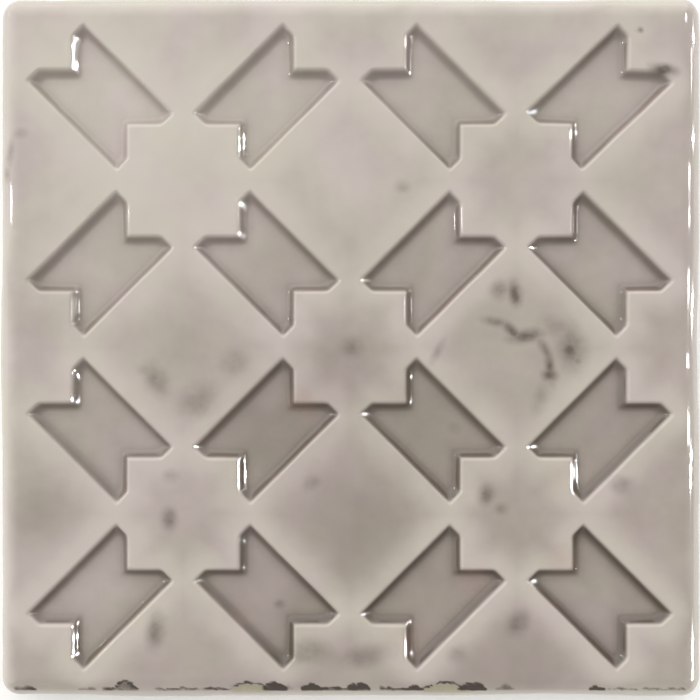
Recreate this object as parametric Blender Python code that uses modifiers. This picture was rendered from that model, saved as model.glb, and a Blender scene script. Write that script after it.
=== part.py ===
"""A glazed porcelain wall tile with a pressed star lattice, at its real size.

Units are metres and +Z is up. The tile lies on its back, with its glazed face up.
The origin is the middle of the back, and the lattice's rows run along X and Y.
"""
import math

import bmesh
import bpy

MM = 0.001

# The slab
TILE_SIDE = 150 * MM
TILE_THICKNESS = 10 * MM
CORNER_RADIUS = 4.5 * MM
RIM_ROLL = 4 * MM
RIM_ROLL_STEPS = 4
SIDE_STEPS = 20
CORNER_STEPS = 6

# The outer edge wanders a little, as on a tile finished by hand.
# Each wave has its turns round the whole edge, its height and its start angle.
EDGE_WAVES = (
    (5, 0.22 * MM, 0.6),
    (11, 0.16 * MM, 2.1),
    (17, 0.10 * MM, 4.0),
)

# The relief: a square array of sunk bars, turned by 45 degrees one way and the other in turn.
# Each end of a bar has a right-angled notch, so a notch is as deep as half its mouth.
RECESSES_PER_SIDE = 4
RECESS_SPACING = 35 * MM
RECESS_LENGTH = 26.6 * MM
RECESS_WIDTH = 16.85 * MM
NOTCH_DEPTH = 5.05 * MM
RECESS_DEPTH = 1.8 * MM
WALL_RUN = 1.1 * MM
EDGE_SOFTENING = 0.5 * MM
SOFTENING_STEPS = 2

# The keyed back: crossing grooves for the adhesive leave square studs, one of them in the middle.
GROOVES_PER_SIDE = 6
GROOVE_SPACING = 20 * MM
GROOVE_WIDTH = 4 * MM
GROOVE_LENGTH = 134 * MM
GROOVE_DEPTH = 0.8 * MM

# How far a cutter reaches past the face that it opens
CUTTER_RISE = 1 * MM

# The glaze: a warm grey, as linear colour
GLAZE_COLOUR = (0.445, 0.397, 0.347, 1.0)
GLAZE_ROUGHNESS = 0.12


def clear_scene():
    """Remove every object that the new scene starts with."""
    for scene_object in list(bpy.data.objects):
        bpy.data.objects.remove(scene_object, do_unlink=True)


def new_collection(name):
    """Add a collection to the scene."""
    collection = bpy.data.collections.new(name)
    bpy.context.scene.collection.children.link(collection)
    return collection


def quarter_stops():
    """Distances along a quarter of the edge, from the middle of one corner towards the next."""
    straight = TILE_SIDE - 2 * CORNER_RADIUS
    half_arc = CORNER_RADIUS * math.pi / 4
    half_corner_steps = CORNER_STEPS // 2
    first_arc = [half_arc * step / half_corner_steps for step in range(half_corner_steps)]
    side = [half_arc + straight * step / SIDE_STEPS for step in range(SIDE_STEPS)]
    last_arc = [
        half_arc + straight + half_arc * step / half_corner_steps
        for step in range(half_corner_steps)
    ]
    return first_arc + side + last_arc


def quarter_point(distance):
    """The point and the outward direction on the +X side, at a distance from its lower corner's middle."""
    straight = TILE_SIDE - 2 * CORNER_RADIUS
    half_arc = CORNER_RADIUS * math.pi / 4
    centre_x = straight / 2
    if distance < half_arc:
        angle = distance / CORNER_RADIUS - math.pi / 4
        centre_y = -straight / 2
    elif distance <= half_arc + straight:
        angle = 0.0
        centre_y = distance - half_arc - straight / 2
    else:
        angle = (distance - half_arc - straight) / CORNER_RADIUS
        centre_y = straight / 2
    direction = (math.cos(angle), math.sin(angle))
    point = (
        centre_x + CORNER_RADIUS * direction[0],
        centre_y + CORNER_RADIUS * direction[1],
    )
    return point, direction


def quarter_turn(vector, turns):
    """Turn a flat vector by a number of right angles, anticlockwise."""
    x, y = vector
    for _ in range(turns):
        x, y = -y, x
    return x, y


def wavy_outline():
    """The tile's outer edge seen from above, anticlockwise, with its waves, fitted to the tile's side."""
    quarter_length = TILE_SIDE - 2 * CORNER_RADIUS + CORNER_RADIUS * math.pi / 2
    points = []
    for side in range(4):
        for distance in quarter_stops():
            point, direction = quarter_point(distance)
            point = quarter_turn(point, side)
            direction = quarter_turn(direction, side)
            turn = (side + distance / quarter_length) * math.pi / 2
            wave = sum(height * math.sin(count * turn + start) for count, height, start in EDGE_WAVES)
            points.append((point[0] + wave * direction[0], point[1] + wave * direction[1]))
    return fit_to_side(points)


def fit_to_side(points):
    """Centre the outline on the origin and stretch it so that each way it is exactly one tile side."""
    fitted_axes = []
    for axis in range(2):
        values = [point[axis] for point in points]
        middle = (max(values) + min(values)) / 2
        stretch = TILE_SIDE / (max(values) - min(values))
        fitted_axes.append([(value - middle) * stretch for value in values])
    return list(zip(*fitted_axes))


def curve_to_mesh_object(curve_object, collection):
    """Replace a curve object by a mesh object of the same shape and place, with its caps welded on."""
    depsgraph = bpy.context.evaluated_depsgraph_get()
    mesh = bpy.data.meshes.new_from_object(curve_object.evaluated_get(depsgraph))
    name = curve_object.name
    matrix = curve_object.matrix_world.copy()
    bpy.data.objects.remove(curve_object, do_unlink=True)

    mesh_object = bpy.data.objects.new(name, mesh)
    mesh_object.matrix_world = matrix
    collection.objects.link(mesh_object)
    return mesh_object


def make_slab(name, collection):
    """The plain slab: the wavy outline through its whole thickness."""
    outline = wavy_outline()
    curve = bpy.data.curves.new(name, "CURVE")
    curve.dimensions = "2D"
    curve.fill_mode = "BOTH"
    curve.extrude = TILE_THICKNESS / 2
    spline = curve.splines.new("POLY")
    spline.points.add(len(outline) - 1)
    for spline_point, (x, y) in zip(spline.points, outline):
        spline_point.co = (x, y, 0.0, 1.0)
    spline.use_cyclic_u = True

    curve_object = bpy.data.objects.new(name, curve)
    curve_object.location.z = TILE_THICKNESS / 2
    collection.objects.link(curve_object)
    bpy.context.view_layer.update()
    return curve_to_mesh_object(curve_object, collection)


def roll_rim(slab):
    """Weld the slab's caps, make each one flat face, and round the edge of the upper one."""
    bm = bmesh.new()
    bm.from_mesh(slab.data)
    bmesh.ops.remove_doubles(bm, verts=bm.verts, dist=0.01 * MM)

    cap_seams = [
        edge for edge in bm.edges
        if all(abs(face.normal.z) > 0.5 for face in edge.link_faces)
    ]
    bmesh.ops.dissolve_edges(bm, edges=cap_seams, use_verts=False)

    top_edges = [
        edge for edge in bm.edges
        if all(vert.co.z > TILE_THICKNESS / 4 for vert in edge.verts)
    ]
    bmesh.ops.bevel(
        bm, geom=top_edges, offset=RIM_ROLL, segments=RIM_ROLL_STEPS,
        profile=0.5, affect="EDGES", clamp_overlap=False,
    )
    bmesh.ops.recalc_face_normals(bm, faces=bm.faces)
    bm.to_mesh(slab.data)
    bm.free()


def recess_outline(growth):
    """The outline of a bar along X, anticlockwise, grown on every side by the same distance."""
    half_length = RECESS_LENGTH / 2 + growth
    half_width = RECESS_WIDTH / 2 + growth
    notch = NOTCH_DEPTH - (math.sqrt(2) - 1) * growth
    right_end = [
        (half_length, -half_width),
        (half_length, -notch),
        (half_length - notch, 0.0),
        (half_length, notch),
        (half_length, half_width),
    ]
    left_end = [(-x, -y) for x, y in right_end]
    return right_end + left_end


def make_recess_cutter_mesh():
    """One sunk bar as a solid, its walls leaning in towards its floor. Its origin is on the tile's face."""
    lean = WALL_RUN / RECESS_DEPTH
    bm = bmesh.new()
    mouth = [bm.verts.new((x, y, CUTTER_RISE)) for x, y in recess_outline(lean * CUTTER_RISE)]
    floor = bm.faces.new(list(reversed(mouth)))
    bm.normal_update()
    bmesh.ops.inset_individual(
        bm, faces=[floor], thickness=lean * (CUTTER_RISE + RECESS_DEPTH),
        depth=CUTTER_RISE + RECESS_DEPTH, use_even_offset=True,
    )
    bmesh.ops.holes_fill(bm, edges=[edge for edge in bm.edges if edge.is_boundary])
    bmesh.ops.recalc_face_normals(bm, faces=bm.faces)
    mesh = bpy.data.meshes.new("recess_cutter")
    bm.to_mesh(mesh)
    bm.free()
    return mesh


def mark_as_cutter(cutter):
    """Keep a cutter out of the finished part."""
    cutter.hide_render = True
    cutter.display_type = "WIRE"


def add_recess_cutters(collection):
    """Set a bar at every place of the array, leaning one way and the other in turn."""
    mesh = make_recess_cutter_mesh()
    middle = (RECESSES_PER_SIDE - 1) / 2
    for row in range(RECESSES_PER_SIDE):
        for column in range(RECESSES_PER_SIDE):
            cutter = bpy.data.objects.new(f"recess_cutter_{row + 1}_{column + 1}", mesh)
            cutter.location = (
                (column - middle) * RECESS_SPACING,
                (middle - row) * RECESS_SPACING,
                TILE_THICKNESS,
            )
            lean = -45 if (row + column) % 2 == 0 else 45
            cutter.rotation_euler.z = math.radians(lean)
            collection.objects.link(cutter)
            mark_as_cutter(cutter)


def make_groove_cutter_mesh():
    """One groove of the back as a box along X."""
    bm = bmesh.new()
    bmesh.ops.create_cube(bm, size=1.0)
    height = GROOVE_DEPTH + CUTTER_RISE
    bmesh.ops.scale(bm, vec=(GROOVE_LENGTH, GROOVE_WIDTH, height), verts=bm.verts)
    bmesh.ops.translate(bm, vec=(0.0, 0.0, GROOVE_DEPTH - height / 2), verts=bm.verts)
    mesh = bpy.data.meshes.new("groove_cutter")
    bm.to_mesh(mesh)
    bm.free()
    return mesh


def add_groove_cutters(collection):
    """Set the grooves of the back, along X and along Y."""
    mesh = make_groove_cutter_mesh()
    middle = (GROOVES_PER_SIDE - 1) / 2
    for index in range(GROOVES_PER_SIDE):
        offset = (index - middle) * GROOVE_SPACING
        along_x = bpy.data.objects.new(f"groove_cutter_x_{index + 1}", mesh)
        along_x.location.y = offset
        along_y = bpy.data.objects.new(f"groove_cutter_y_{index + 1}", mesh)
        along_y.location.x = offset
        along_y.rotation_euler.z = math.radians(90)
        for cutter in (along_x, along_y):
            collection.objects.link(cutter)
            mark_as_cutter(cutter)


def cut(part, cutters, name):
    """Take all the cutters of a collection out of a part."""
    boolean = part.modifiers.new(name, "BOOLEAN")
    boolean.operation = "DIFFERENCE"
    boolean.solver = "EXACT"
    boolean.operand_type = "COLLECTION"
    boolean.collection = cutters


def soften_edges(part):
    """Take the sharpness off the relief's lips and feet and off the back's outer edge."""
    bevel = part.modifiers.new("soften_edges", "BEVEL")
    bevel.width = EDGE_SOFTENING
    bevel.segments = SOFTENING_STEPS
    bevel.limit_method = "ANGLE"
    bevel.angle_limit = math.radians(30)
    bevel.use_clamp_overlap = True


def glazed_porcelain():
    """Fired porcelain under a clear, glossy, warm grey glaze."""
    material = bpy.data.materials.new("glazed_porcelain")
    material.use_nodes = True
    shader = material.node_tree.nodes["Principled BSDF"]
    shader.inputs["Base Color"].default_value = GLAZE_COLOUR
    shader.inputs["Roughness"].default_value = GLAZE_ROUGHNESS
    shader.inputs["Metallic"].default_value = 0.0
    return material


def main():
    clear_scene()
    tile_collection = new_collection("porcelain_tile")
    recess_cutters = new_collection("recess_cutters")
    groove_cutters = new_collection("groove_cutters")

    tile = make_slab("relief_tile", tile_collection)
    roll_rim(tile)
    tile.data.materials.append(glazed_porcelain())

    add_recess_cutters(recess_cutters)
    add_groove_cutters(groove_cutters)
    cut(tile, recess_cutters, "press_relief")
    soften_edges(tile)
    cut(tile, groove_cutters, "press_back_grooves")


main()
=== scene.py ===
"""The looks of a glazed porcelain wall tile with a pressed star lattice, lying face up on a pale floor.

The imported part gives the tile's place and size. One fine mesh takes the place of the plain solid:
the pressed face under its glaze, the rolled rim, the bare foot of the sides and the keyed back.
Units are metres and +Z is up.
"""

import math

import bmesh
import bpy
import numpy as np
from mathutils import Matrix, Vector, geometry


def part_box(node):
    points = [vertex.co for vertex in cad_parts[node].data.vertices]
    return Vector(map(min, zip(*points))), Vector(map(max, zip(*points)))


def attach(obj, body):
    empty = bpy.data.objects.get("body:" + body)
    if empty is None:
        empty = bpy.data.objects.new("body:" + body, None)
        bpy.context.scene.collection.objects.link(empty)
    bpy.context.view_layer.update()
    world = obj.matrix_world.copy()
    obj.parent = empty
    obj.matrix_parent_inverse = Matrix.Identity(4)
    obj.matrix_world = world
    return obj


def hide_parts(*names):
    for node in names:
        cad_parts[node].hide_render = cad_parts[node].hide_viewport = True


MM = 0.001

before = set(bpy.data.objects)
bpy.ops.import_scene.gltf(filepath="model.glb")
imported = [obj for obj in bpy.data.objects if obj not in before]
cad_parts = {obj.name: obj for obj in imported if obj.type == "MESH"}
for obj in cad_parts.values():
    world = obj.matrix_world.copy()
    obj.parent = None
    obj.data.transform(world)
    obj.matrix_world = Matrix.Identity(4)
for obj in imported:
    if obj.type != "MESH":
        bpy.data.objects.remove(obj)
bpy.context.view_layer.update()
low_corner, high_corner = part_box("relief_tile")
TILE_SIDE = high_corner.x - low_corner.x
TILE_THICKNESS = high_corner.z - low_corner.z

# The slab's edge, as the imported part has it. Each wave has its turns round the whole edge,
# its height and its start angle.
CORNER_RADIUS = 4.5 * MM
RIM_ROLL = 4 * MM
EDGE_WAVES = (
    (5, 0.22 * MM, 0.6),
    (11, 0.16 * MM, 2.1),
    (17, 0.10 * MM, 4.0),
)

# The glaze's own shoulder, over which the face eases down into the rolled rim. Where the two meet,
# the sine of the slope is held to a limit.
SHOULDER_RADIUS = 5.6 * MM
STEEPEST_MEETING = 0.6

# The relief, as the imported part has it
RECESSES_PER_SIDE = 4
RECESS_SPACING = 35 * MM
RECESS_LENGTH = 26.6 * MM
RECESS_WIDTH = 16.85 * MM
NOTCH_DEPTH = 5.05 * MM
RECESS_DEPTH = 1.8 * MM

# The one bar that lies a little askew in the photo: its row and column from the upper left,
# and its turn in degrees
ASKEW_BAR = (0, 3)
ASKEW_TURN = -1.3

# The glaze rounds each wall from a little outside its lip to a little inside its foot.
# A bias under 1 makes the wall drop sooner past its lip.
LIP_REACH = 0.30 * MM
FOOT_REACH = 1.75 * MM
WALL_BIAS = 0.78
CORNER_SOFTNESS = 0.15 * MM
FOOT_SOFTNESS = 0.42 * MM

# The walls waver as a hand-filled press mould leaves them: how far, and each waver's length,
# heading in degrees and start
WALL_WAVER = 0.04 * MM
WALL_WAVERS = (
    (9.5 * MM, 10, 0.4),
    (12.5 * MM, 78, 2.3),
    (8.0 * MM, 131, 4.1),
    (15.0 * MM, 50, 1.2),
)

# The broad unevenness of the lands: how high, and each swell's length, heading in degrees and start
LAND_SWELL_HEIGHT = 0.16 * MM
LAND_SWELLS = (
    (74 * MM, 20, 0.3),
    (57 * MM, 105, 1.9),
    (41 * MM, 62, 4.4),
    (33 * MM, 148, 2.6),
    (23 * MM, 85, 0.8),
    (19 * MM, 12, 5.2),
)

# Small ripples of the glaze round the rim: turns round the whole edge, height and start angle
RIM_RIPPLES = (
    (43, 0.050 * MM, 0.7),
    (67, 0.022 * MM, 3.1),
)

# The keyed back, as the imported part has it
GROOVES_PER_SIDE = 6
GROOVE_SPACING = 20 * MM
GROOVE_WIDTH = 4 * MM
GROOVE_LENGTH = 134 * MM
GROOVE_DEPTH = 0.8 * MM

# The bare body's edges: the chamfer round the back, and the rounding of its grooves' sharp edges
BACK_CHAMFER = 0.5 * MM
GROOVE_ROUNDING = 0.2 * MM
SHARP_EDGE_DEGREES = 60

# The mesh's steps: round the rim and down its roll, across and along the walls, over the open face,
# over the iron marks, and in from the rim on the shoulder
RIM_POINTS_PER_SIDE = 260
ROLL_STEPS = 15
RING_STEP = 0.2 * MM
RING_SPACING = 0.6 * MM
GRID_STEP = 1.0 * MM
MARK_GRID_STEP = 0.4 * MM
SHOULDER_RINGS = (0.45 * MM, 0.9 * MM, 1.35 * MM, 1.8 * MM)

# Points that lie closer than this are one: in the flat face, and in the whole mesh
FLAT_TOLERANCE = 0.001 * MM
WELD_DISTANCE = 0.002 * MM

# How a face of the block is known for its lid: its upward normal, and its height to within this
LID_NORMAL = 0.9
LID_TOLERANCE = 0.01 * MM

# The side: the block with the keyed back, the lower edge of the glaze above it, and how far the glazed
# side and the bare body lie inside the glaze's bead
BLOCK_HEIGHT = 1.2 * MM
GLAZE_LINE = 2.3 * MM
GLAZED_SIDE_INSET = 0.06 * MM
BARE_SIDE_INSET = 0.12 * MM

# The bead along the lower edge of the glaze, from its top down: how far in it lies, and how high
# over that edge
GLAZE_BEAD = (
    (0.03 * MM, 0.55 * MM),
    (0.0, 0.28 * MM),
    (0.04 * MM, 0.08 * MM),
)

# Where the glaze ran and was wiped back: turns round the whole edge, height and start angle
GLAZE_RUNS = (
    (7, 0.35 * MM, 0.9),
    (19, 0.25 * MM, 2.2),
    (43, 0.12 * MM, 0.0),
)

# How deep the glaze lies, from 0 for thin to 1 for deep: everywhere, on a broad land, on a sunk floor,
# and at the foot of a wall, with how far each reaches, and how much thinner it is at the rim.
# A land counts from a share of the rim's roll, and grows deep faster from there than from a wall.
BASE_DEPTH = 0.20
LAND_DEPTH = 0.17
LAND_FADE = (0.3 * MM, 7.5 * MM)
FLOOR_DEPTH = 0.24
FLOOR_FADE = (-0.15 * MM, 0.5 * MM)
FOOT_DEPTH = 0.30
FOOT_MIDDLE = 0.8 * MM
FOOT_SPREAD = 0.95 * MM
FOOT_TAIL_DEPTH = 0.12
FOOT_TAIL = 2.2 * MM
RIM_THINNING = 0.16
RIM_FADE = (1.2 * MM, 3.4 * MM)
LAND_START = 0.4
LAND_QUICKENING = 2.0

# Painted light and shade: the glaze's depth is scaled by place, least toward one corner and most toward
# the other, through a middle value at the tile's middle. The glaze looks lighter toward the upper left,
# where the light is bright, and darker toward the lower right.
LEAST_PAINTED_SHADE_SCALE = 0.45
MOST_PAINTED_SHADE_SCALE = 1.15
MIDDLE_PAINTED_SHADE_SCALE = 0.62
PAINTED_SHADE_WAY = (0.35, -0.65)

# Broad pools and thin places that the photo shows: place in mm, radius in mm, and added depth
# The negative ones toward the upper left are painted light: they lighten the glaze where the bright side's
# sheen falls.
POOLS_AND_PAINTED_LIGHT = (
    (-2.0, -4.9, 11, 0.14),
    (0.0, -36.2, 12, 0.13),
    (-65.6, -34.2, 7, 0.16),
    (36.2, -38.2, 10, 0.03),
    (-17.6, -17.6, 11, 0.13),
    (17.6, -17.6, 11, 0.07),
    (-17.6, 17.6, 10, 0.05),
    (17.6, 17.6, 10, 0.04),
    (-52.8, -52.8, 12, -0.08),
    (-36.2, 36.2, 20, -0.10),
    (-53.8, 53.8, 18, -0.08),
    (0.0, 36.2, 16, -0.06),
    (52.8, -52.8, 12, -0.05),
    (52.8, 52.8, 10, -0.03),
    (-35.2, 2.0, 10, 0.06),
    (37.2, -65.6, 9, 0.10),
    (-9.8, -64.6, 8, 0.08),
    (-62.6, 3.9, 6, 0.08),
    (-66.5, 35.6, 8, 0.06),
    (64.5, 6.0, 5, 0.02),
    (64.5, -4.0, 5, 0.02),
    (-70.0, 12.0, 6, 0.10),
)

# Iron marks under the glaze: place in mm, half length, half width, heading in degrees, strength
IRON_MARKS = (
    (31.4, 12.0, 1.2, 1.2, 0, 0.50),
    (34.6, 11.3, 1.5, 0.8, -80, 0.90),
    (30.5, 5.3, 1.7, 0.6, -10, 0.55),
    (34.0, 3.4, 1.6, 0.65, -45, 0.80),
    (37.1, 2.4, 2.1, 0.8, 12, 0.85),
    (40.9, -0.4, 2.0, 0.6, -60, 0.55),
    (41.9, -4.1, 2.2, 0.65, -85, 0.65),
    (41.9, -5.9, 0.9, 0.8, 0, 0.80),
    (46.4, -0.3, 3.0, 1.7, -82, 0.55),
    (46.1, -0.8, 1.5, 1.1, -80, 0.80),
    (47.6, -2.9, 0.9, 0.7, 0, 0.50),
    (43.3, 4.2, 2.2, 1.4, -30, 0.32),
    (18.3, -1.0, 1.8, 0.6, 60, 0.32),
    (40.0, -10.8, 2.2, 1.0, 70, 0.28),
    (0.4, 0.0, 1.5, 1.3, 0, 0.50),
    (-40.7, -6.6, 2.2, 1.4, -60, 0.50),
    (-42.3, -4.9, 1.2, 0.9, 0, 0.40),
    (-31.7, -11.2, 2.6, 2.0, 30, 0.42),
    (-24.3, -3.1, 1.8, 1.8, 0, 0.32),
    (-38.0, -36.0, 1.4, 1.0, 90, 0.60),
    (-37.6, -27.0, 1.1, 0.9, 0, 0.30),
    (-8.0, -28.4, 1.2, 1.0, 30, 0.30),
    (28.6, -30.9, 1.3, 1.0, 70, 0.65),
    (31.7, -33.9, 1.0, 0.8, 0, 0.35),
    (-40.8, -59.5, 2.2, 1.2, 80, 0.55),
    (35.2, -57.9, 1.7, 1.3, 60, 0.55),
    (22.6, -64.6, 1.4, 1.2, 0, 0.35),
    (2.7, -64.8, 2.6, 1.4, 10, 0.42),
    (-9.4, -64.0, 2.8, 1.6, 0, 0.42),
    (57.1, -29.0, 1.4, 1.2, 0, 0.40),
    (11.0, 33.7, 1.0, 0.8, 0, 0.32),
    (60.9, 66.5, 0.4, 0.35, 0, 0.80),
    (66.0, 58.3, 1.6, 0.7, -10, 1.0),
    (-14.9, -54.4, 0.7, 0.6, 0, 0.45),
    (22.1, -17.2, 1.1, 0.9, 0, 0.20),
    (-71.6, 40.3, 1.8, 0.6, 80, 0.42),
    (-72.2, 36.6, 1.3, 0.5, 90, 0.38),
    (-69.2, 44.9, 1.0, 0.7, 0, 0.28),
)

# How far a mark fades past its size, and how far its finer grid of points reaches, both in half lengths
MARK_SPREAD = 1.6
MARK_MARGIN = 1.9

# Faint rosy flushes in some bars' corners: place in mm, radius in mm, strength
FLUSHES = (
    (-10.3, -11.7, 3.5, 0.7),
    (12.1, -62.2, 4.0, 0.5),
    (25.9, -49.4, 3.5, 0.6),
    (44.5, -45.0, 4.0, 0.6),
    (-23.5, -56.7, 3.0, 0.4),
    (9.8, -9.8, 3.0, 0.4),
    (45.0, -26.4, 3.0, 0.5),
)

# Flaws along the near edge, where the glaze broke, with painted shadow along their outlines and inside:
# middle and half width in mm, how far in from the edge each reaches in mm, how square its top is, how
# dark the painted shadow on its outline and inside is, and how bare it leaves the body
EDGE_FLAWS = (
    (-68.4, 2.6, 3.8, 1.6, 0.60, 0.75, 0.0),
    (-55.3, 2.4, 3.6, 2.0, 0.30, 0.50, 0.0),
    (-50.8, 1.6, 3.6, 1.4, 0.60, 0.90, 0.0),
    (-47.3, 3.1, 5.1, 1.1, 0.90, 0.60, 0.0),
    (-33.0, 8.8, 3.2, 4.0, 0.75, 0.50, 0.0),
    (-21.0, 4.2, 4.6, 2.0, 0.85, 0.0, 1.0),
    (-15.9, 2.9, 4.4, 3.0, 0.90, 1.00, 0.0),
    (-13.0, 1.4, 4.2, 1.4, 0.35, 0.40, 0.0),
    (-8.0, 2.5, 4.3, 1.8, 0.90, 1.00, 0.0),
    (-2.9, 3.8, 3.5, 1.2, 0.80, 0.75, 0.0),
    (1.7, 3.0, 4.2, 3.0, 0.95, 0.75, 0.0),
    (6.6, 0.8, 3.9, 1.6, 0.60, 0.55, 0.0),
    (9.7, 3.2, 3.2, 2.0, 0.75, 0.60, 0.0),
    (13.4, 2.4, 3.7, 1.5, 0.70, 0.80, 0.0),
    (20.4, 5.2, 4.6, 1.8, 0.85, 0.0, 1.0),
    (25.8, 3.4, 4.4, 2.2, 0.95, 1.00, 0.0),
    (32.7, 2.3, 4.1, 1.5, 0.42, 0.50, 0.0),
    (52.0, 2.1, 3.6, 1.6, 0.90, 1.00, 0.0),
    (62.5, 9.0, 3.1, 4.0, 0.60, 0.35, 0.0),
)

# A flaw's outline: how far in from the edge it ends, how wide it is, how much and over what shift that
# width varies, how ragged it is, and the rags' lengths, headings in degrees and starts
FLAW_FOOT = 3.0 * MM
FLAW_OUTLINE = 0.36 * MM
OUTLINE_VARIATION = 0.8
OUTLINE_SHIFT = 5 * MM
FLAW_RAGGEDNESS = 0.30 * MM
FLAW_RAGS = (
    (6.1 * MM, 0, 0.3),
    (2.7 * MM, 0, 1.9),
    (1.5 * MM, 0, 4.2),
)

# Where a flaw fades: at its two ends as a share of its half width, across its outline, and where its
# painted shadow and its bare body begin in from the edge
FLAW_END_FADE = 0.15
FLAW_OUTLINE_FADE = (-0.15 * MM, 0.30 * MM)
PAINTED_SHADOW_FOOT = (2.3 * MM, 3.0 * MM)
BARE_FOOT = (1.9 * MM, 2.6 * MM)

# The chips in the rim: how deep, and how squarely toward the near edge the rim faces there
CHIP_DEPTH = 0.3 * MM
NEAR_EDGE_FACING = -0.9

# The glaze's colours from thin to deep, and the finer unevenness that shifts them:
# each unevenness has the size of its lumps, its detail and how deep it goes
GLAZE_STOPS = (
    (0.0, "#C3BDB1"),
    (0.20, "#BAB1A8"),
    (0.36, "#A79D95"),
    (0.46, "#998F87"),
    (0.68, "#776D64"),
    (1.0, "#4A4037"),
)
GLAZE_UNEVENNESS = (
    (13 * MM, 3.0, 0.20),
    (3.5 * MM, 2.0, 0.07),
)

# Faint changes of tint over the glaze
TINT_SIZE = 15 * MM
TINT_STOPS = (
    (0.40, "#FFFCFE"),
    (0.60, "#FDFEF9"),
)

# The glaze's skin: a faint orange peel, its refraction and its gloss
PEEL_SIZE = 5 * MM
PEEL_HEIGHT = 0.006 * MM
GLAZE_IOR = 1.52
GLAZE_ROUGHNESS = 0.04

# The stains in the glaze, and the painted shadow along the near edge's flaws: the name of each one's
# strength, its colour, the strengths at which it starts and is full, and how much it covers then. Their
# strength varies over ragged lumps.
STAINS_AND_PAINTED_SHADOW = (
    ("flushes", "#A58478", 0.10, 1.00, 0.40),
    ("iron_marks", "#5C5248", 0.04, 0.80, 0.92),
    ("bare_body", "#A59E85", 0.25, 1.00, 1.0),
    # Painted shadow: a dark brown along the near edge's flaws, on their outlines and inside them
    ("painted_edge_shadow", "#382B23", 0.25, 0.75, 0.95),
)
RAGGED_SIZE = 2.2 * MM
RAGGED_SWING = 1.2
RAGGED_LEAST = 0.4

# The bare body: the size of its grain, its colours and its dullness
GRAIN_SIZE = 1.2 * MM
BODY_STOPS = (
    (0.3, "#C6BBA6"),
    (0.7, "#DCD3C2"),
)
BODY_ROUGHNESS = 0.75

# The studio's floor: half its side in metres, its colour and its dullness
FLOOR_HALF = 3.0
FLOOR_COLOUR = "#F7F6F4"
FLOOR_ROUGHNESS = 0.9

# Light: a soft room that is brighter up to the left and darkest over the camera
BRIGHT_WAY = (-0.50, 0.866, 0.0)
BRIGHT_FADE = (-0.35, 0.75)
BRIGHT_SIDE = 1.45
ROOM_COLOUR = "#FFFFFF"
ROOM_BRIGHTNESS = 0.60
ROOM_OVERHEAD = 0.42
OVERHEAD_FADE = (0.90, 1.0)

# Far strip lamps for the glints, with their distance in metres. Each has its side, 1 for the right and -1
# for the left, the row of the tile that it lights in mm, its lowest and highest elevation in degrees, the
# length of its glints in mm, and its radiance. The strong ones are aimed at the relief's walls, and the
# weak ones at the rim.
LAMP_DISTANCE = 6.0
STRIP_LAMPS = (
    (1, 58.9, 1, 12, 1.5, 1300),
    (1, 42.2, 1, 12, 1.0, 1300),
    (1, 7.6, 1, 12, 1.6, 1300),
    (1, -25.2, 18, 27, 1.3, 2000),
    (1, -29.2, 18, 27, 1.3, 2000),
    (1, -58.6, 6, 14, 1.1, 2000),
    (1, -63.4, 6, 14, 1.0, 2000),
    (1, -20.5, 14, 24, 0.9, 1300),
    (1, 64.3, 42, 52, 3.0, 24),
    (1, 53.0, 14, 20, 4.6, 24),
    (1, 32.5, 24, 34, 5.0, 24),
    (1, 26.8, 24, 34, 3.6, 24),
    (1, 10.5, 26, 38, 5.0, 24),
    (1, -1.0, 28, 44, 4.6, 24),
    (1, -15.8, 26, 40, 4.6, 24),
    (-1, 29.1, 24, 36, 8.5, 24),
    (-1, 67.5, 14, 22, 1.2, 24),
)

# The camera, from the photo: its height over the face, its place along Y, the lens and the sensor's width
# in mm that frame the tile as the photo does, and its mean distance from the slopes that glint
CAMERA_DISTANCE = 195 * MM
CAMERA_Y = -0.58 * MM
CAMERA_LENS = 47.85
SENSOR_WIDTH = 36.0
CLIP_START = 0.01
EYE_REACH = 203 * MM


def smooth_step(low, high, value):
    """0 below low, 1 above high, and an even S between them."""
    share = np.clip((value - low) / (high - low), 0.0, 1.0)
    return share * share * (3 - 2 * share)


def swell(x, y, waves):
    """A gentle uneven surface: a sum of plane waves, each a length, a direction in degrees and a start."""
    total = np.zeros_like(x)
    for length, heading, start in waves:
        angle = math.radians(heading)
        along = x * math.cos(angle) + y * math.sin(angle)
        total = total + np.sin(2 * math.pi * along / length + start)
    return total / len(waves)


def bar_lean(row, column):
    """The heading of a sunk bar in radians: one diagonal and the other in turn, and one a little askew."""
    diagonal = np.where((row + column) % 2 == 0, -45, 45)
    askew = (row == ASKEW_BAR[0]) & (column == ASKEW_BAR[1])
    return np.radians(diagonal + np.where(askew, ASKEW_TURN, 0.0))


def recess_inset(x, y):
    """How far each point lies inside the outline of its nearest sunk bar; negative on the raised lattice."""
    middle = (RECESSES_PER_SIDE - 1) / 2
    last = RECESSES_PER_SIDE - 1
    column = np.clip(np.round(x / RECESS_SPACING + middle), 0, last)
    row = np.clip(np.round(middle - y / RECESS_SPACING), 0, last)
    dx = x - (column - middle) * RECESS_SPACING
    dy = y - (middle - row) * RECESS_SPACING
    lean = bar_lean(row.astype(int), column.astype(int))
    along = np.abs(dx * np.cos(lean) + dy * np.sin(lean))
    across = np.abs(dy * np.cos(lean) - dx * np.sin(lean))
    mouth = softened_inset(along, across, CORNER_SOFTNESS)
    foot = softened_inset(along, across, FOOT_SOFTNESS)
    share = smooth_step(0.0, FOOT_REACH, mouth)
    return mouth + (foot - mouth) * share + WALL_WAVER * swell(x, y, WALL_WAVERS)


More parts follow.
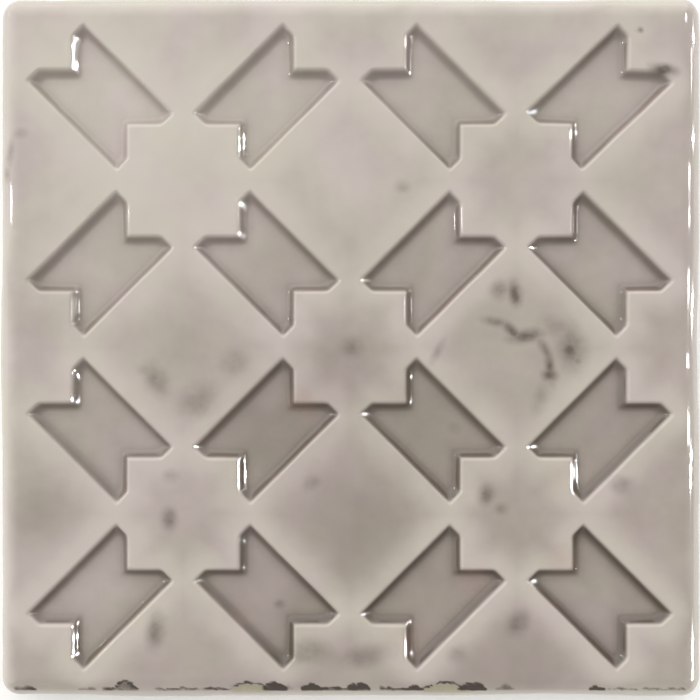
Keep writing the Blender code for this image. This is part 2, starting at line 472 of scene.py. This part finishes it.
def softened_inset(along, across, softness):
    """Distance in from a bar's outline, with its corners rounded by that softness."""
    across = np.sqrt(across ** 2 + softness ** 2)
    to_long_side = RECESS_WIDTH / 2 - across
    to_end = RECESS_LENGTH / 2 - along
    to_notch = (RECESS_LENGTH / 2 - NOTCH_DEPTH - along + across) / math.sqrt(2)
    nearest = np.minimum(np.minimum(to_long_side, to_end), to_notch)
    crowding = (
        np.exp((nearest - to_long_side) / softness)
        + np.exp((nearest - to_end) / softness)
        + np.exp((nearest - to_notch) / softness)
    )
    return nearest - softness * np.log(crowding)


def edge_inset(x, y):
    """How far each point lies inside the tile's outline, its waves left out."""
    half = TILE_SIDE / 2 - CORNER_RADIUS
    over_x = np.abs(x) - half
    over_y = np.abs(y) - half
    outside = np.hypot(np.clip(over_x, 0, None), np.clip(over_y, 0, None))
    inside = np.minimum(np.maximum(over_x, over_y), 0)
    return CORNER_RADIUS - outside - inside


def face_height(x, y):
    """Height of the glazed face over the tile's back."""
    down = np.clip((recess_inset(x, y) + LIP_REACH) / (FOOT_REACH + LIP_REACH), 0, 1)
    wall = smooth_step(0.0, 1.0, down ** WALL_BIAS)
    land = TILE_THICKNESS + LAND_SWELL_HEIGHT * (swell(x, y, LAND_SWELLS) - 1.0)
    past = np.clip(SHOULDER_RADIUS - edge_inset(x, y), 0, SHOULDER_RADIUS)
    shoulder = SHOULDER_RADIUS - np.sqrt(SHOULDER_RADIUS ** 2 - past ** 2)
    return land - RECESS_DEPTH * wall - shoulder


def waves_round_edge(turn, waves):
    """Waves at each turn round the tile in radians: each has its count, its height and its start angle."""
    return sum(height * np.sin(count * turn + start) for count, height, start in waves)


def rim_outline(points_per_side):
    """The outer edge seen from above, anticlockwise: its points and their outward directions."""
    straight = TILE_SIDE - 2 * CORNER_RADIUS
    half_arc = CORNER_RADIUS * math.pi / 4
    quarter = straight + 2 * half_arc
    distance = np.arange(points_per_side) / points_per_side * quarter
    angle = np.where(
        distance < half_arc,
        distance / CORNER_RADIUS - math.pi / 4,
        np.clip((distance - half_arc - straight) / CORNER_RADIUS, 0, None),
    )
    centre_y = np.clip(distance - half_arc, 0, straight) - straight / 2
    x = straight / 2 + CORNER_RADIUS * np.cos(angle)
    y = centre_y + CORNER_RADIUS * np.sin(angle)
    points = []
    directions = []
    for side in range(4):
        turn = side * math.pi / 2
        spin = np.array([[math.cos(turn), -math.sin(turn)], [math.sin(turn), math.cos(turn)]])
        direction = np.stack([np.cos(angle), np.sin(angle)], axis=1) @ spin.T
        edge_turn = (side + distance / quarter) * math.pi / 2
        wave = waves_round_edge(edge_turn, EDGE_WAVES + RIM_RIPPLES)
        points.append(np.stack([x, y], axis=1) @ spin.T + wave[:, None] * direction)
        directions.append(direction)
    points = np.concatenate(points)
    directions = np.concatenate(directions)
    middle = (points.max(axis=0) + points.min(axis=0)) / 2
    stretch = TILE_SIDE / (points.max(axis=0) - points.min(axis=0))
    return (points - middle) * stretch, directions


def recess_outline(growth):
    """Corners of a bar along X, anticlockwise, grown on every side by the same distance."""
    half_length = RECESS_LENGTH / 2 + growth
    half_width = RECESS_WIDTH / 2 + growth
    notch = NOTCH_DEPTH - (math.sqrt(2) - 1) * growth
    right_end = [
        (half_length, -half_width),
        (half_length, -notch),
        (half_length - notch, 0.0),
        (half_length, notch),
        (half_length, half_width),
    ]
    return right_end + [(-x, -y) for x, y in right_end]


def wall_ring_points():
    """Points along each wall, in rings from outside its lip to inside its foot, for one bar along X."""
    mouth = recess_outline(0.0)
    steps = [
        max(1, round(math.dist(start, end) / RING_SPACING))
        for start, end in zip(mouth, mouth[1:] + mouth[:1])
    ]
    points = []
    for growth in np.arange(-FOOT_REACH - 2 * RING_STEP, LIP_REACH + 2 * RING_STEP, RING_STEP):
        corners = recess_outline(growth)
        for start, end, count in zip(corners, corners[1:] + corners[:1], steps):
            shares = np.arange(count)[:, None] / count
            points.append(np.array(start) + shares * (np.array(end) - np.array(start)))
    return np.concatenate(points)


def lattice_points():
    """Wall points of all the bars, turned one way and the other in turn."""
    bar = wall_ring_points()
    middle = (RECESSES_PER_SIDE - 1) / 2
    points = []
    for row in range(RECESSES_PER_SIDE):
        for column in range(RECESSES_PER_SIDE):
            lean = bar_lean(row, column)
            spin = np.array([[math.cos(lean), -math.sin(lean)], [math.sin(lean), math.cos(lean)]])
            centre = np.array([(column - middle) * RECESS_SPACING, (middle - row) * RECESS_SPACING])
            points.append(bar @ spin.T + centre)
    return np.concatenate(points)


def open_points():
    """Even grids of points on the lands and the recess floors, clear of the walls and the rim.

    A finer grid lies round each iron mark.
    """
    patches = [(0.0, 0.0, TILE_SIDE / 2, GRID_STEP)]
    for mark_x, mark_y, half_length, _, _, _ in IRON_MARKS:
        patches.append((mark_x * MM, mark_y * MM, MARK_MARGIN * half_length * MM, MARK_GRID_STEP))
    points = []
    for middle_x, middle_y, half, step in patches:
        count = max(2, int(half / step))
        ticks = np.arange(-count, count + 1) * step
        columns, rows = np.meshgrid(middle_x + ticks, middle_y + ticks)
        x = columns.ravel()
        y = rows.ravel()
        inset = recess_inset(x, y)
        off_wall = (inset < -LIP_REACH - 3 * RING_STEP) | (inset > FOOT_REACH + 3 * RING_STEP)
        off_rim = edge_inset(x, y) > RIM_ROLL + SHOULDER_RINGS[-1] + GRID_STEP / 2
        keep = off_wall & off_rim
        points.append(np.stack([x[keep], y[keep]], axis=1))
    return np.concatenate(points)


def face_triangles(border, shoulder):
    """Triangulate the face inside its border: its points, triangles and the border's own indices."""
    points = np.concatenate([border, shoulder, lattice_points(), open_points()])
    edges = [(index, (index + 1) % len(border)) for index in range(len(border))]
    flat, _, faces, origins, _, _ = geometry.delaunay_2d_cdt(
        [Vector(point) for point in points], edges, [], 1, FLAT_TOLERANCE
    )
    place = {}
    for index, sources in enumerate(origins):
        for source in sources:
            place[source] = index
    border_indices = [place[index] for index in range(len(border))]
    return np.array([tuple(point) for point in flat]), faces, border_indices


def side_rows(outline, directions, border_heights):
    """Rings of points from the face's border down to the block: each, and whether it is still glazed."""
    turn = np.arange(len(outline)) / len(outline) * 2 * math.pi
    line = GLAZE_LINE + waves_round_edge(turn, GLAZE_RUNS)
    border = outline - RIM_ROLL * directions
    lean = (SHOULDER_RADIUS - edge_inset(border[:, 0], border[:, 1])) / SHOULDER_RADIUS
    start = np.arcsin(np.clip(lean, 0, STEEPEST_MEETING))
    radius = (RIM_ROLL - GLAZED_SIDE_INSET) / (1 - np.sin(start))
    rows = []
    for step in range(1, ROLL_STEPS + 1):
        angle = start + (math.pi / 2 - start) * step / ROLL_STEPS
        reach = radius * (np.sin(angle) - np.sin(start)) - RIM_ROLL
        height = border_heights - radius * (np.cos(start) - np.cos(angle))
        _, bare = edge_flaws(outline[:, 0], -reach)
        chip = CHIP_DEPTH * bare * (directions[:, 1] < NEAR_EDGE_FACING)
        rows.append((reach - chip, height - chip, True))
    rows.append((-GLAZED_SIDE_INSET, (height + line) / 2, True))
    for inset, rise in GLAZE_BEAD:
        rows.append((-inset, line + rise, True))
    rows.append((-BARE_SIDE_INSET, line, True))
    rows.append((-BARE_SIDE_INSET, np.full_like(turn, BLOCK_HEIGHT), False))
    return [
        (np.column_stack([outline + (reach * directions.T).T, height]), glazed)
        for reach, height, glazed in rows
    ]


def upper_shell(outline, directions):
    """The face, the rolled rim and the side down to the block, open at the bottom."""
    border = outline - RIM_ROLL * directions
    shoulder = np.concatenate([border - step * directions for step in SHOULDER_RINGS])
    flat, triangles, border_indices = face_triangles(border, shoulder)
    heights = face_height(flat[:, 0], flat[:, 1])
    points = [np.column_stack([flat, heights])]
    faces = [tuple(triangle) for triangle in triangles]
    slots = [0] * len(faces)
    upper = list(border_indices)
    count = len(flat)
    for ring, glazed in side_rows(outline, directions, heights[border_indices]):
        points.append(ring)
        lower = list(range(count, count + len(ring)))
        count += len(ring)
        for index in range(len(ring)):
            after = (index + 1) % len(ring)
            faces.append((upper[index], lower[index], lower[after], upper[after]))
            slots.append(0 if glazed else 1)
        upper = lower
    mesh = bpy.data.meshes.new("upper_shell")
    mesh.from_pydata(np.concatenate(points).tolist(), [], faces)
    mesh.polygons.foreach_set("material_index", slots)
    return mesh


def groove_boxes():
    """The back's crossing grooves as boxes that reach below it."""
    bm = bmesh.new()
    middle = (GROOVES_PER_SIDE - 1) / 2
    for index in range(GROOVES_PER_SIDE):
        offset = (index - middle) * GROOVE_SPACING
        for size, place in (
            ((GROOVE_LENGTH, GROOVE_WIDTH), (0.0, offset)),
            ((GROOVE_WIDTH, GROOVE_LENGTH), (offset, 0.0)),
        ):
            box = bmesh.ops.create_cube(bm, size=1.0)["verts"]
            bmesh.ops.scale(bm, vec=(size[0], size[1], 2 * GROOVE_DEPTH), verts=box)
            bmesh.ops.translate(bm, vec=(place[0], place[1], 0.0), verts=box)
    mesh = bpy.data.meshes.new("groove_boxes")
    bm.to_mesh(mesh)
    bm.free()
    return mesh


def keyed_block(outline, directions):
    """The lowest slice of the tile, bare and chamfered, with the adhesive grooves cut into its back."""
    rows = (
        (-BARE_SIDE_INSET - BACK_CHAMFER, 0.0),
        (-BARE_SIDE_INSET, BACK_CHAMFER),
        (-BARE_SIDE_INSET, BLOCK_HEIGHT),
    )
    bm = bmesh.new()
    rings = []
    for reach, height in rows:
        ring = outline + reach * directions
        rings.append([bm.verts.new((x, y, height)) for x, y in ring])
    for lower, upper in zip(rings, rings[1:]):
        for index in range(len(lower)):
            after = (index + 1) % len(lower)
            bm.faces.new((lower[index], lower[after], upper[after], upper[index]))
    bm.faces.new(list(reversed(rings[0])))
    bm.faces.new(rings[-1])
    mesh = bpy.data.meshes.new("keyed_block")
    bm.to_mesh(mesh)
    bm.free()

    block = bpy.data.objects.new("keyed_block", mesh)
    grooves = bpy.data.objects.new("groove_boxes", groove_boxes())
    for helper in (block, grooves):
        bpy.context.scene.collection.objects.link(helper)
    boolean = block.modifiers.new("grooves", "BOOLEAN")
    boolean.operation = "DIFFERENCE"
    boolean.solver = "EXACT"
    boolean.use_self = True
    boolean.object = grooves
    depsgraph = bpy.context.evaluated_depsgraph_get()
    cut_mesh = bpy.data.meshes.new_from_object(block.evaluated_get(depsgraph))
    for helper in (block, grooves):
        bpy.data.objects.remove(helper)
    return cut_mesh


def soften_grooves(bm):
    """Open the block's top, and round the lips and feet of its grooves."""
    lids = [
        face for face in bm.faces
        if face.normal.z > LID_NORMAL
        and face.calc_center_median().z > BLOCK_HEIGHT - LID_TOLERANCE
    ]
    bmesh.ops.delete(bm, geom=lids, context="FACES_ONLY")
    reach = TILE_SIDE / 2 - RIM_ROLL
    sharp = [
        edge for edge in bm.edges
        if not edge.is_boundary
        and edge.calc_face_angle(0.0) > math.radians(SHARP_EDGE_DEGREES)
        and all(abs(vert.co.x) < reach and abs(vert.co.y) < reach for vert in edge.verts)
    ]
    bmesh.ops.bevel(bm, geom=sharp, offset=GROOVE_ROUNDING, segments=2, profile=0.5, affect="EDGES")
    for face in bm.faces:
        face.material_index = 1


def tile_mesh():
    """The whole tile as one closed mesh."""
    outline, directions = rim_outline(RIM_POINTS_PER_SIDE)
    bm = bmesh.new()
    bm.from_mesh(keyed_block(outline, directions))
    soften_grooves(bm)
    bm.from_mesh(upper_shell(outline, directions))
    bmesh.ops.remove_doubles(bm, verts=bm.verts, dist=WELD_DISTANCE)
    bmesh.ops.recalc_face_normals(bm, faces=bm.faces)
    for face in bm.faces:
        face.smooth = True
    mesh = bpy.data.meshes.new("glazed_tile")
    bm.to_mesh(mesh)
    bm.free()
    return mesh


def glaze_depth_and_painted_shade(x, y):
    """How deep the glaze lies, from 0 for thin to 1 for deep: it drains off lips into the hollows. Painted
    light and shade is scaled into it by place, lighter to the upper left.
    """
    inset = recess_inset(x, y)
    from_rim = edge_inset(x, y)
    to_edge = np.minimum(-inset, LAND_QUICKENING * (from_rim - LAND_START * RIM_ROLL))
    land = LAND_DEPTH * smooth_step(*LAND_FADE, to_edge)
    foot = FOOT_DEPTH * np.exp(-((inset - FOOT_MIDDLE) / FOOT_SPREAD) ** 2)
    tail = FOOT_TAIL_DEPTH * np.exp(-np.clip(inset, 0, None) / FOOT_TAIL)
    floor = FLOOR_DEPTH + foot + tail
    depth = land + (floor - land) * smooth_step(*FLOOR_FADE, inset)

    # Painted light and shade: the depth is scaled least toward the upper left and most toward the lower
    # right
    half = TILE_SIDE / 2
    lean = PAINTED_SHADE_WAY[0] * x / half + PAINTED_SHADE_WAY[1] * y / half
    painted_shade_scale = LEAST_PAINTED_SHADE_SCALE + (1 - LEAST_PAINTED_SHADE_SCALE) * (MIDDLE_PAINTED_SHADE_SCALE + lean)
    painted_shade_scale = np.clip(painted_shade_scale, LEAST_PAINTED_SHADE_SCALE, MOST_PAINTED_SHADE_SCALE)
    # Real pools, and painted light where the negative ones lighten the upper left
    pools_and_painted_light = np.zeros_like(x)
    for middle_x, middle_y, radius, added in POOLS_AND_PAINTED_LIGHT:
        squared = (x - middle_x * MM) ** 2 + (y - middle_y * MM) ** 2
        pools_and_painted_light = pools_and_painted_light + added * np.exp(-squared / (radius * MM) ** 2)
    away = smooth_step(*RIM_FADE, from_rim)
    return BASE_DEPTH + depth * painted_shade_scale + pools_and_painted_light * away - RIM_THINNING * (1 - away)


def iron_marks(x, y):
    """Strength of the iron marks at each point."""
    total = np.zeros_like(x)
    for middle_x, middle_y, half_length, half_width, heading, strength in IRON_MARKS:
        angle = math.radians(heading)
        dx = x - middle_x * MM
        dy = y - middle_y * MM
        along = (dx * math.cos(angle) + dy * math.sin(angle)) / (MARK_SPREAD * half_length * MM)
        across = (dy * math.cos(angle) - dx * math.sin(angle)) / (MARK_SPREAD * half_width * MM)
        total = np.maximum(total, strength * np.exp(-(along ** 2 + across ** 2)))
    return total


def flushes(x, y):
    """Strength of the rosy flushes at each point."""
    total = np.zeros_like(x)
    for middle_x, middle_y, radius, strength in FLUSHES:
        squared = (x - middle_x * MM) ** 2 + (y - middle_y * MM) ** 2
        total = np.maximum(total, strength * np.exp(-squared / (radius * MM) ** 2))
    return total


def edge_flaws(x, reach):
    """The near edge's flaws at x along it and some reach in from it: how dark with painted shadow and how
    bare.
    """
    painted_edge_shadow = np.zeros_like(x)
    bare = np.zeros_like(x)
    ragged = swell(x, 0.0 * x, FLAW_RAGS)
    outline = FLAW_OUTLINE * (1.0 + OUTLINE_VARIATION * swell(x + OUTLINE_SHIFT, 0.0 * x, FLAW_RAGS))
    for middle, half_width, rise, squareness, dark_outline, dark_inside, bareness in EDGE_FLAWS:
        share = np.abs(x - middle * MM) / (half_width * MM)
        fall = (rise * MM - FLAW_FOOT) * np.clip(share, 0, 1) ** squareness
        line = rise * MM - fall + FLAW_RAGGEDNESS * ragged
        inside = smooth_step(0.0, FLAW_END_FADE, 1 - share)
        # Painted shadow along the flaw's outline and inside it
        edge = dark_outline * np.exp(-((reach - line) / outline) ** 2)
        below = smooth_step(*FLAW_OUTLINE_FADE, line - reach)
        dark = dark_inside * below * smooth_step(*PAINTED_SHADOW_FOOT, reach)
        painted_edge_shadow = np.maximum(painted_edge_shadow, inside * np.maximum(edge, dark))
        gone = bareness * below * smooth_step(*BARE_FOOT, reach)
        bare = np.maximum(bare, inside * gone)
    return painted_edge_shadow, bare


def mesh_points(mesh):
    """All the points of a mesh as an array."""
    points = np.empty(len(mesh.vertices) * 3)
    mesh.vertices.foreach_get("co", points)
    return points.reshape(-1, 3)


def add_point_values(mesh, name, values):
    """Store one number for each point of a mesh."""
    attribute = mesh.attributes.new(name, "FLOAT", "POINT")
    attribute.data.foreach_set("value", values.astype(np.float32))


def linear(hex_colour):
    """An sRGB hex colour as linear RGBA."""
    channels = [int(hex_colour[place:place + 2], 16) / 255 for place in (1, 3, 5)]
    return tuple(
        channel / 12.92 if channel <= 0.04045 else ((channel + 0.055) / 1.055) ** 2.4
        for channel in channels
    ) + (1.0,)


def add_node(tree, kind, inputs=None, **settings):
    """Add one node: its own settings, and each input as a value or as the socket that feeds it."""
    node = tree.nodes.new(kind)
    for name, value in settings.items():
        setattr(node, name, value)
    for name, value in (inputs or {}).items():
        if isinstance(value, bpy.types.NodeSocket):
            tree.links.new(value, node.inputs[name])
        else:
            node.inputs[name].default_value = value
    return node


def set_stops(ramp_node, stops):
    """Give a colour ramp its stops: places and hex colours."""
    elements = ramp_node.color_ramp.elements
    while len(elements) < len(stops):
        elements.new(0.5)
    for element, (place, colour) in zip(elements, stops):
        element.position = place
        element.color = linear(colour)


def glazed_porcelain():
    """Porcelain under a glossy, half-clear, warm grey glaze, poured over the pressed relief and fired.

    Thin glaze on lips and rims looks pale, and glaze that gathered in hollows looks deep and grey-brown.
    """
    material = bpy.data.materials.new("glazed_porcelain")
    material.use_nodes = True
    tree = material.node_tree
    shader = tree.nodes["Principled BSDF"]
    place = add_node(tree, "ShaderNodeTexCoord").outputs["Object"]

    # The glaze depth carries painted light and shade besides the real pooling of the glaze.
    depth = add_node(tree, "ShaderNodeAttribute", attribute_name="glaze_depth_and_painted_shade").outputs["Fac"]
    for size, detail, swing in GLAZE_UNEVENNESS:
        lumps = add_node(
            tree, "ShaderNodeTexNoise", {"Vector": place, "Scale": 1 / size, "Detail": detail},
        ).outputs["Fac"]
        shift = add_node(
            tree, "ShaderNodeMath", {0: lumps, 1: 0.5}, operation="SUBTRACT",
        ).outputs["Value"]
        depth = add_node(
            tree, "ShaderNodeMath", {0: shift, 1: swing, 2: depth}, operation="MULTIPLY_ADD",
        ).outputs["Value"]
    glaze = add_node(tree, "ShaderNodeValToRGB", {"Fac": depth})
    set_stops(glaze, GLAZE_STOPS)
    patches = add_node(
        tree, "ShaderNodeTexNoise", {"Vector": place, "Scale": 1 / TINT_SIZE, "Detail": 2.0},
    ).outputs["Fac"]
    tint = add_node(tree, "ShaderNodeValToRGB", {"Fac": patches})
    set_stops(tint, TINT_STOPS)
    colour = add_node(
        tree, "ShaderNodeMix",
        {"Factor": 1.0, "A": glaze.outputs["Color"], "B": tint.outputs["Color"]},
        data_type="RGBA", blend_type="MULTIPLY",
    ).outputs["Result"]

    rags = add_node(
        tree, "ShaderNodeTexNoise", {"Vector": place, "Scale": 1 / RAGGED_SIZE, "Detail": 2.0},
    ).outputs["Fac"]
    ragged = add_node(
        tree, "ShaderNodeMath", {0: rags, 1: RAGGED_SWING, 2: RAGGED_LEAST}, operation="MULTIPLY_ADD",
    ).outputs["Value"]
    for name, stain_and_shadow_colour, low, high, most in STAINS_AND_PAINTED_SHADOW:
        strength = add_node(tree, "ShaderNodeAttribute", attribute_name=name).outputs["Fac"]
        mark = add_node(
            tree, "ShaderNodeMath", {0: strength, 1: ragged}, operation="MULTIPLY",
        ).outputs["Value"]
        share = add_node(
            tree, "ShaderNodeMapRange",
            {"Value": mark, "From Min": low, "From Max": high, "To Max": most},
        ).outputs["Result"]
        colour = add_node(
            tree, "ShaderNodeMix", {"Factor": share, "A": colour, "B": linear(stain_and_shadow_colour)},
            data_type="RGBA",
        ).outputs["Result"]
    tree.links.new(colour, shader.inputs["Base Color"])

    peel = add_node(
        tree, "ShaderNodeTexNoise", {"Vector": place, "Scale": 1 / PEEL_SIZE, "Detail": 2.0},
    ).outputs["Fac"]
    skin = add_node(
        tree, "ShaderNodeBump", {"Height": peel, "Distance": PEEL_HEIGHT, "Strength": 1.0},
    ).outputs["Normal"]
    tree.links.new(skin, shader.inputs["Normal"])
    shader.inputs["IOR"].default_value = GLAZE_IOR
    shader.inputs["Roughness"].default_value = GLAZE_ROUGHNESS
    return material


def bare_porcelain():
    """Fired porcelain body with no glaze: a warm off-white, fine grained and dull, as the kiln left it."""
    material = bpy.data.materials.new("bare_porcelain_body")
    material.use_nodes = True
    tree = material.node_tree
    shader = tree.nodes["Principled BSDF"]
    place = add_node(tree, "ShaderNodeTexCoord").outputs["Object"]
    grain = add_node(
        tree, "ShaderNodeTexNoise", {"Vector": place, "Scale": 1 / GRAIN_SIZE, "Detail": 4.0},
    ).outputs["Fac"]
    colour = add_node(tree, "ShaderNodeValToRGB", {"Fac": grain})
    set_stops(colour, BODY_STOPS)
    tree.links.new(colour.outputs["Color"], shader.inputs["Base Color"])
    shader.inputs["Roughness"].default_value = BODY_ROUGHNESS
    return material


def make_tile():
    """The tile's fine mesh with its glaze values and its two finishes."""
    mesh = tile_mesh()
    points = mesh_points(mesh)
    x, y = points[:, 0], points[:, 1]
    near_edge = (y < 0) & (points[:, 2] > BLOCK_HEIGHT)
    painted_edge_shadow, bare = edge_flaws(x, TILE_SIDE / 2 + y)
    add_point_values(mesh, "glaze_depth_and_painted_shade", glaze_depth_and_painted_shade(x, y))
    add_point_values(mesh, "iron_marks", iron_marks(x, y))
    add_point_values(mesh, "flushes", flushes(x, y))
    add_point_values(mesh, "painted_edge_shadow", painted_edge_shadow * near_edge)
    add_point_values(mesh, "bare_body", bare * near_edge)
    mesh.materials.append(glazed_porcelain())
    mesh.materials.append(bare_porcelain())
    tile = bpy.data.objects.new("glazed_relief_tile", mesh)
    bpy.context.scene.collection.objects.link(tile)
    return tile


def make_floor():
    """A plain pale studio floor, level with the tile's back."""
    mesh = bpy.data.meshes.new("studio_floor")
    corners = [
        (-FLOOR_HALF, -FLOOR_HALF, 0),
        (FLOOR_HALF, -FLOOR_HALF, 0),
        (FLOOR_HALF, FLOOR_HALF, 0),
        (-FLOOR_HALF, FLOOR_HALF, 0),
    ]
    mesh.from_pydata(corners, [], [(0, 1, 2, 3)])
    material = bpy.data.materials.new("matt_white_floor")
    material.use_nodes = True
    shader = material.node_tree.nodes["Principled BSDF"]
    shader.inputs["Base Color"].default_value = linear(FLOOR_COLOUR)
    shader.inputs["Roughness"].default_value = FLOOR_ROUGHNESS
    mesh.materials.append(material)
    floor = bpy.data.objects.new("studio_floor", mesh)
    bpy.context.scene.collection.objects.link(floor)
    return floor


def strip_place(side, row, lowest, highest, glint):
    """Where a strip lamp stands so that slopes facing it glint on that row: place, axes and size."""
    reach = LAMP_DISTANCE / EYE_REACH
    across = row * (1 + reach) - CAMERA_Y * reach
    level = math.sqrt(LAMP_DISTANCE ** 2 - across ** 2)
    elevation = math.radians((lowest + highest) / 2)
    place = Vector((side * level * math.cos(elevation), across, level * math.sin(elevation)))
    away = place.normalized()
    along = Vector((-away.z, 0.0, away.x)).normalized()
    width = glint * (1 + reach)
    height = 2 * LAMP_DISTANCE * math.tan(math.radians(highest - lowest) / 2)
    return place, away, along, width, height


def make_room_light():
    """A soft white room that is brightest up to the left."""
    world = bpy.data.worlds.new("soft_studio")
    world.use_nodes = True
    tree = world.node_tree
    background = tree.nodes["Background"]
    direction = add_node(tree, "ShaderNodeTexCoord").outputs["Generated"]
    height = add_node(tree, "ShaderNodeSeparateXYZ", {"Vector": direction}).outputs["Z"]
    room = add_node(
        tree, "ShaderNodeMapRange",
        {
            "Value": height,
            "From Min": OVERHEAD_FADE[0],
            "From Max": OVERHEAD_FADE[1],
            "To Min": ROOM_BRIGHTNESS,
            "To Max": ROOM_OVERHEAD,
        },
    ).outputs["Result"]
    leftward = add_node(
        tree, "ShaderNodeVectorMath", {0: direction, 1: Vector(BRIGHT_WAY)}, operation="DOT_PRODUCT",
    ).outputs["Value"]
    soft_light = add_node(
        tree, "ShaderNodeMapRange",
        {
            "Value": leftward,
            "From Min": BRIGHT_FADE[0],
            "From Max": BRIGHT_FADE[1],
            "To Max": BRIGHT_SIDE,
        },
        interpolation_type="SMOOTHSTEP",
    ).outputs["Result"]
    strength = add_node(
        tree, "ShaderNodeMath", {0: soft_light, 1: room}, operation="ADD",
    ).outputs["Value"]
    tree.links.new(strength, background.inputs["Strength"])
    background.inputs["Color"].default_value = linear(ROOM_COLOUR)
    bpy.context.scene.world = world


def make_strip_lamps():
    """The lamps on both sides that give the glints. They show only in glossy reflections."""
    for index, (side, row, lowest, highest, glint, radiance) in enumerate(STRIP_LAMPS):
        place, away, along, width, height = strip_place(side, row * MM, lowest, highest, glint * MM)
        light = bpy.data.lights.new(f"strip_lamp_{index + 1}", "AREA")
        light.shape = "RECTANGLE"
        light.size = width
        light.size_y = height
        light.energy = radiance * math.pi * width * height
        lamp = bpy.data.objects.new(light.name, light)
        lamp.location = place
        lamp.rotation_euler = Matrix((along.cross(away), along, away)).transposed().to_euler()
        lamp.visible_diffuse = False
        lamp.visible_camera = False
        bpy.context.scene.collection.objects.link(lamp)


def make_camera():
    """Straight down over the tile, a short way off, as the photograph was taken."""
    data = bpy.data.cameras.new("overhead_camera")
    data.lens = CAMERA_LENS
    data.sensor_width = SENSOR_WIDTH
    data.clip_start = CLIP_START
    camera = bpy.data.objects.new("overhead_camera", data)
    camera.location = (0.0, CAMERA_Y, TILE_THICKNESS + CAMERA_DISTANCE)
    bpy.context.scene.collection.objects.link(camera)
    bpy.context.scene.camera = camera


def main():
    """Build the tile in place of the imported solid, and the studio round it."""
    tile = make_tile()
    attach(tile, "root")
    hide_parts("relief_tile")
    make_floor()
    make_room_light()
    make_strip_lamps()
    make_camera()
    bpy.context.scene.view_settings.view_transform = "Standard"


main()
